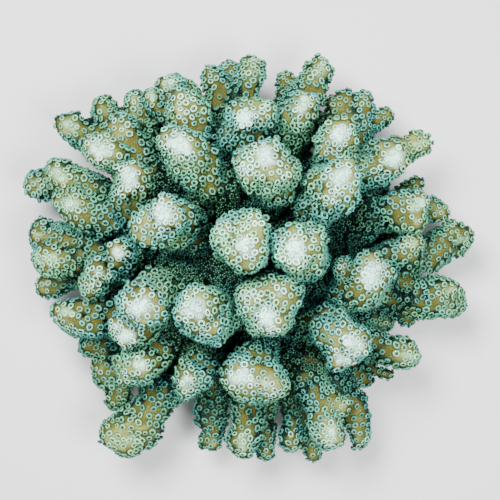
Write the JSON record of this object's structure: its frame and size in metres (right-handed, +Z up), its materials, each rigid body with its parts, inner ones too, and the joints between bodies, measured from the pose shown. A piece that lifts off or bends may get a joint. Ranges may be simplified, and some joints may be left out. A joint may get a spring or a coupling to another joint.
{
  "type": "branching coral colony",
  "caption": "Dome-shaped branching coral colony with stout blunt fingers covered in small ring polyps, cut flat to stand on a shelf or reef model.",
  "frame": {"origin": "centre of the flat cut under the colony", "axes": "+Z up from the cut towards the crown; +X and +Y are right and top of the view from above"},
  "size_m": [0.1269, 0.1156, 0.0779],
  "materials": {
    "living_tissue": "satin",
    "bare_limestone": "matte"
  },
  "bodies": {
    "root": {"cut_base": "bare_limestone", "crown_limb_centre": "living_tissue", "crown_limb_east": "living_tissue", "crown_limb_far_east": "living_tissue", "crown_limb_far_west": "living_tissue", "crown_limb_north": "living_tissue", "crown_limb_northeast": "living_tissue", "crown_limb_northwest": "living_tissue", "crown_limb_south": "living_tissue", "crown_limb_southeast": "living_tissue", "crown_limb_southwest": "living_tissue", "crown_limb_west": "living_tissue", "rim_limb_east": "living_tissue", "rim_limb_east_southeast": "living_tissue", "rim_limb_north": "living_tissue", "rim_limb_north_northeast": "living_tissue", "rim_limb_north_northwest": "living_tissue", "rim_limb_northeast": "living_tissue", "rim_limb_northwest": "living_tissue", "rim_limb_south": "living_tissue", "rim_limb_south_southeast": "living_tissue", "rim_limb_south_southwest": "living_tissue", "rim_limb_southeast": "living_tissue", "rim_limb_southwest": "living_tissue", "rim_limb_west": "living_tissue", "rim_limb_west_northwest": "living_tissue"}
  },
  "joints": []
}
